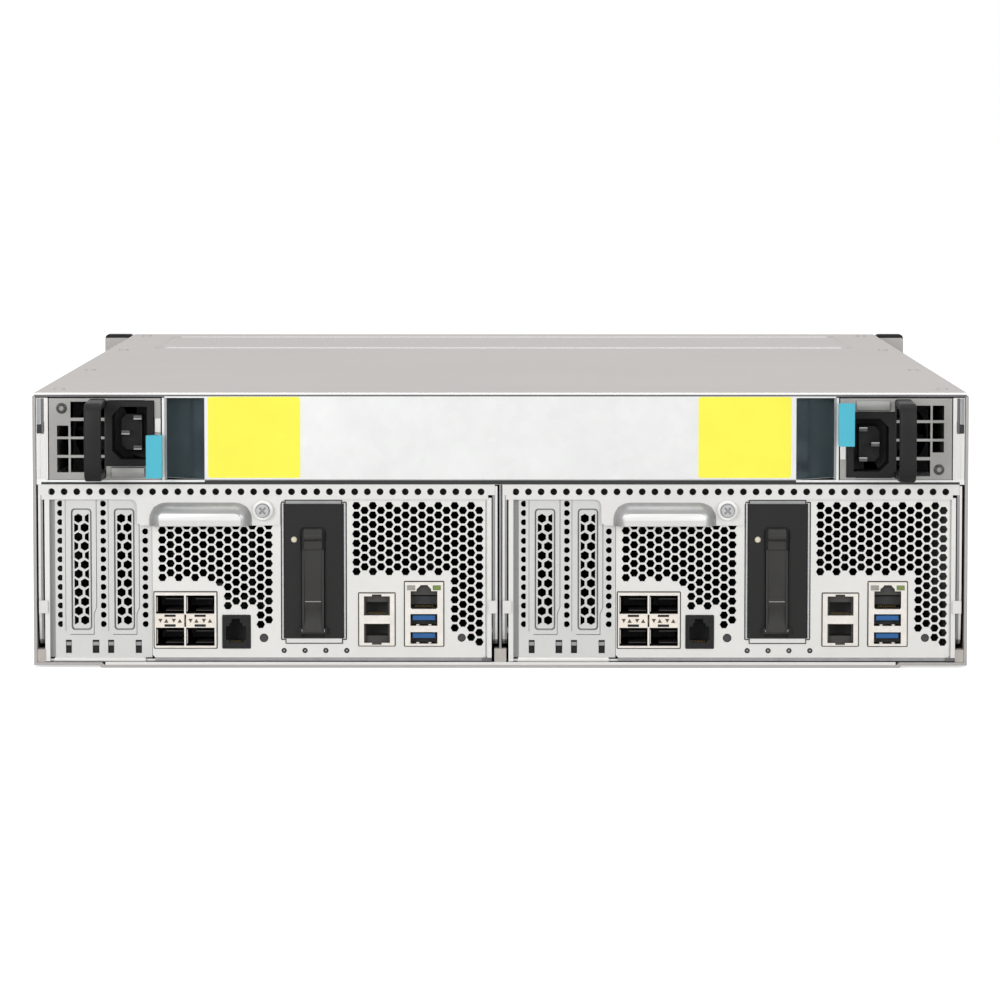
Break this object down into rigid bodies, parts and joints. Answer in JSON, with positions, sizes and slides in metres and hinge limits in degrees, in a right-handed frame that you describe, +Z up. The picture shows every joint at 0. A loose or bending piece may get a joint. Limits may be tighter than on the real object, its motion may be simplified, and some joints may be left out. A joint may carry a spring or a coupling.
{
  "type": "rack-mount network storage server",
  "caption": "Rack-mount storage server with front drive trays, twin slide-out controllers with ejector levers and twin plug-in power supplies, seen from its connector side.",
  "frame": {"origin": "middle of the underside of the box round the whole part", "axes": "+Z up, +Y towards the drive bays, so the connector side faces -Y; +X to the right when looking at the connector side"},
  "size_m": [0.4826, 0.6606, 0.132],
  "materials": {
    "case_paint": "fine textured warm grey coat",
    "galvanised": "bright zinc-coated sheet",
    "panel_steel": "light grey sheet",
    "spring_steel": "plain steel",
    "screw_steel": "bright plated",
    "cage_metal": "plated folded sheet",
    "black_plastic": "fine grained black",
    "battery_black": "dark matt",
    "latch_teal": "teal",
    "board_green": "solder mask",
    "jack_metal": "plated shells",
    "button_grey": "smooth",
    "tray_body": "dark coated"
  },
  "bodies": {
    "root": {"chassis_base": "case_paint", "top_cover": "case_paint", "chassis_screws": "screw_steel", "bay_shelf": "galvanised", "bay_divider": "galvanised", "rear_centre_cover": "galvanised", "drive_cage": "spring_steel", "rack_ear_left": "case_paint", "rack_ear_right": "case_paint", "midplane_board": "board_green", "power_board": "board_green"},
    "controller_left": {"controller_left_case": "panel_steel", "controller_left_slot_covers": "galvanised", "controller_left_mainboard": "board_green", "controller_left_fan_pack": "black_plastic", "controller_left_transceiver_cage": "cage_metal", "controller_left_jack_blocks": "jack_metal"},
    "controller_left_lever": {"controller_left_ejector_lever": "panel_steel"},
    "controller_left_screw": {"controller_left_lever_screw": "screw_steel"},
    "controller_left_battery": {"controller_left_battery_module": "battery_black"},
    "controller_left_battery_pull": {"controller_left_battery_lever": "spring_steel"},
    "controller_left_button": {"controller_left_locate_button": "button_grey"},
    "controller_right": {"controller_right_case": "panel_steel", "controller_right_slot_covers": "galvanised", "controller_right_mainboard": "board_green", "controller_right_fan_pack": "black_plastic", "controller_right_transceiver_cage": "cage_metal", "controller_right_jack_blocks": "jack_metal"},
    "controller_right_lever": {"controller_right_ejector_lever": "panel_steel"},
    "controller_right_screw": {"controller_right_lever_screw": "screw_steel"},
    "controller_right_battery": {"controller_right_battery_module": "battery_black"},
    "controller_right_battery_pull": {"controller_right_battery_lever": "spring_steel"},
    "controller_right_button": {"controller_right_locate_button": "button_grey"},
    "psu_left": {"psu_left_case": "galvanised", "psu_left_inlet": "black_plastic", "psu_left_handle": "black_plastic"},
    "psu_left_release": {"psu_left_latch": "latch_teal"},
    "psu_left_fan_wheel": {"psu_left_fan": "black_plastic"},
    "psu_right": {"psu_right_case": "galvanised", "psu_right_inlet": "black_plastic", "psu_right_handle": "black_plastic"},
    "psu_right_release": {"psu_right_latch": "latch_teal"},
    "psu_right_fan_wheel": {"psu_right_fan": "black_plastic"},
    "power_button": {"power_button": "button_grey"},
    "drive_tray_1_1": {"drive_tray_1_1": "tray_body"},
    "drive_tray_1_2": {"drive_tray_1_2": "tray_body"},
    "drive_tray_1_3": {"drive_tray_1_3": "tray_body"},
    "drive_tray_1_4": {"drive_tray_1_4": "tray_body"},
    "drive_tray_2_1": {"drive_tray_2_1": "tray_body"},
    "drive_tray_2_2": {"drive_tray_2_2": "tray_body"},
    "drive_tray_2_3": {"drive_tray_2_3": "tray_body"},
    "drive_tray_2_4": {"drive_tray_2_4": "tray_body"},
    "drive_tray_3_1": {"drive_tray_3_1": "tray_body"},
    "drive_tray_3_2": {"drive_tray_3_2": "tray_body"},
    "drive_tray_3_3": {"drive_tray_3_3": "tray_body"},
    "drive_tray_3_4": {"drive_tray_3_4": "tray_body"},
    "drive_tray_4_1": {"drive_tray_4_1": "tray_body"},
    "drive_tray_4_2": {"drive_tray_4_2": "tray_body"},
    "drive_tray_4_3": {"drive_tray_4_3": "tray_body"},
    "drive_tray_4_4": {"drive_tray_4_4": "tray_body"}
  },
  "joints": [
    {"name": "controller_left_slide", "type": "slide", "parent": "root", "child": "controller_left", "axis": [0, -1, 0], "range_m": [0, 0.42]},
    {"name": "controller_left_lever_hinge", "type": "hinge", "parent": "controller_left", "child": "controller_left_lever", "pos_m": [-0.1116, -0.291, 0.0174], "axis": [1, 0, 0], "range_deg": [0, 90]},
    {"name": "controller_left_screw_turn", "type": "hinge", "parent": "controller_left_lever", "child": "controller_left_screw", "pos_m": [-0.1133, -0.3, 0.0758], "axis": [0, -1, 0], "continuous": true},
    {"name": "controller_left_battery_slide", "type": "slide", "parent": "controller_left", "child": "controller_left_battery", "axis": [0, -1, 0], "range_m": [0, 0.16]},
    {"name": "controller_left_battery_lever_hinge", "type": "hinge", "parent": "controller_left_battery", "child": "controller_left_battery_pull", "pos_m": [-0.0895, -0.2991, 0.0178], "axis": [1, 0, 0], "range_deg": [0, 70]},
    {"name": "controller_left_button_press", "type": "slide", "parent": "controller_left", "child": "controller_left_button", "axis": [0, 1, 0], "range_m": [0, 0.0008], "stiffness_N_per_m": 500, "springref_m": -0.0005},
    {"name": "controller_right_slide", "type": "slide", "parent": "root", "child": "controller_right", "axis": [0, -1, 0], "range_m": [0, 0.42]},
    {"name": "controller_right_lever_hinge", "type": "hinge", "parent": "controller_right", "child": "controller_right_lever", "pos_m": [0.11, -0.291, 0.0174], "axis": [1, 0, 0], "range_deg": [0, 90]},
    {"name": "controller_right_screw_turn", "type": "hinge", "parent": "controller_right_lever", "child": "controller_right_screw", "pos_m": [0.1083, -0.3, 0.0758], "axis": [0, -1, 0], "continuous": true},
    {"name": "controller_right_battery_slide", "type": "slide", "parent": "controller_right", "child": "controller_right_battery", "axis": [0, -1, 0], "range_m": [0, 0.16]},
    {"name": "controller_right_battery_lever_hinge", "type": "hinge", "parent": "controller_right_battery", "child": "controller_right_battery_pull", "pos_m": [0.1321, -0.2991, 0.0178], "axis": [1, 0, 0], "range_deg": [0, 70]},
    {"name": "controller_right_button_press", "type": "slide", "parent": "controller_right", "child": "controller_right_button", "axis": [0, 1, 0], "range_m": [0, 0.0008], "stiffness_N_per_m": 500, "springref_m": -0.0005},
    {"name": "psu_left_slide", "type": "slide", "parent": "root", "child": "psu_left", "axis": [0, -1, 0], "range_m": [0, 0.34]},
    {"name": "psu_left_latch_hinge", "type": "hinge", "parent": "psu_left", "child": "psu_left_release", "pos_m": [-0.1646, -0.256, 0.102], "axis": [0, 0, -1], "range_deg": [0, 1.2], "stiffness_Nm_per_rad": 5, "springref_deg": -0.57},
    {"name": "psu_left_fan_spin", "type": "hinge", "parent": "psu_left", "child": "psu_left_fan_wheel", "pos_m": [-0.1885, -0.25, 0.1098], "axis": [0, 1, 0], "continuous": true},
    {"name": "psu_right_slide", "type": "slide", "parent": "root", "child": "psu_right", "axis": [0, -1, 0], "range_m": [0, 0.34]},
    {"name": "psu_right_latch_hinge", "type": "hinge", "parent": "psu_right", "child": "psu_right_release", "pos_m": [0.1646, -0.256, 0.1176], "axis": [0, 0, 1], "range_deg": [0, 1.2], "stiffness_Nm_per_rad": 5, "springref_deg": -0.57},
    {"name": "psu_right_fan_spin", "type": "hinge", "parent": "psu_right", "child": "psu_right_fan_wheel", "pos_m": [0.1885, -0.25, 0.1098], "axis": [0, 1, 0], "continuous": true},
    {"name": "power_button_press", "type": "slide", "parent": "root", "child": "power_button", "axis": [0, -1, 0], "range_m": [0, 0.001], "stiffness_N_per_m": 500, "springref_m": -0.0005},
    {"name": "drive_tray_1_1_slide", "type": "slide", "parent": "root", "child": "drive_tray_1_1", "axis": [0, 1, 0], "range_m": [0, 0.2]},
    {"name": "drive_tray_1_2_slide", "type": "slide", "parent": "root", "child": "drive_tray_1_2", "axis": [0, 1, 0], "range_m": [0, 0.2]},
    {"name": "drive_tray_1_3_slide", "type": "slide", "parent": "root", "child": "drive_tray_1_3", "axis": [0, 1, 0], "range_m": [0, 0.2]},
    {"name": "drive_tray_1_4_slide", "type": "slide", "parent": "root", "child": "drive_tray_1_4", "axis": [0, 1, 0], "range_m": [0, 0.2]},
    {"name": "drive_tray_2_1_slide", "type": "slide", "parent": "root", "child": "drive_tray_2_1", "axis": [0, 1, 0], "range_m": [0, 0.2]},
    {"name": "drive_tray_2_2_slide", "type": "slide", "parent": "root", "child": "drive_tray_2_2", "axis": [0, 1, 0], "range_m": [0, 0.2]},
    {"name": "drive_tray_2_3_slide", "type": "slide", "parent": "root", "child": "drive_tray_2_3", "axis": [0, 1, 0], "range_m": [0, 0.2]},
    {"name": "drive_tray_2_4_slide", "type": "slide", "parent": "root", "child": "drive_tray_2_4", "axis": [0, 1, 0], "range_m": [0, 0.2]},
    {"name": "drive_tray_3_1_slide", "type": "slide", "parent": "root", "child": "drive_tray_3_1", "axis": [0, 1, 0], "range_m": [0, 0.2]},
    {"name": "drive_tray_3_2_slide", "type": "slide", "parent": "root", "child": "drive_tray_3_2", "axis": [0, 1, 0], "range_m": [0, 0.2]},
    {"name": "drive_tray_3_3_slide", "type": "slide", "parent": "root", "child": "drive_tray_3_3", "axis": [0, 1, 0], "range_m": [0, 0.2]},
    {"name": "drive_tray_3_4_slide", "type": "slide", "parent": "root", "child": "drive_tray_3_4", "axis": [0, 1, 0], "range_m": [0, 0.2]},
    {"name": "drive_tray_4_1_slide", "type": "slide", "parent": "root", "child": "drive_tray_4_1", "axis": [0, 1, 0], "range_m": [0, 0.2]},
    {"name": "drive_tray_4_2_slide", "type": "slide", "parent": "root", "child": "drive_tray_4_2", "axis": [0, 1, 0], "range_m": [0, 0.2]},
    {"name": "drive_tray_4_3_slide", "type": "slide", "parent": "root", "child": "drive_tray_4_3", "axis": [0, 1, 0], "range_m": [0, 0.2]},
    {"name": "drive_tray_4_4_slide", "type": "slide", "parent": "root", "child": "drive_tray_4_4", "axis": [0, 1, 0], "range_m": [0, 0.2]}
  ]
}
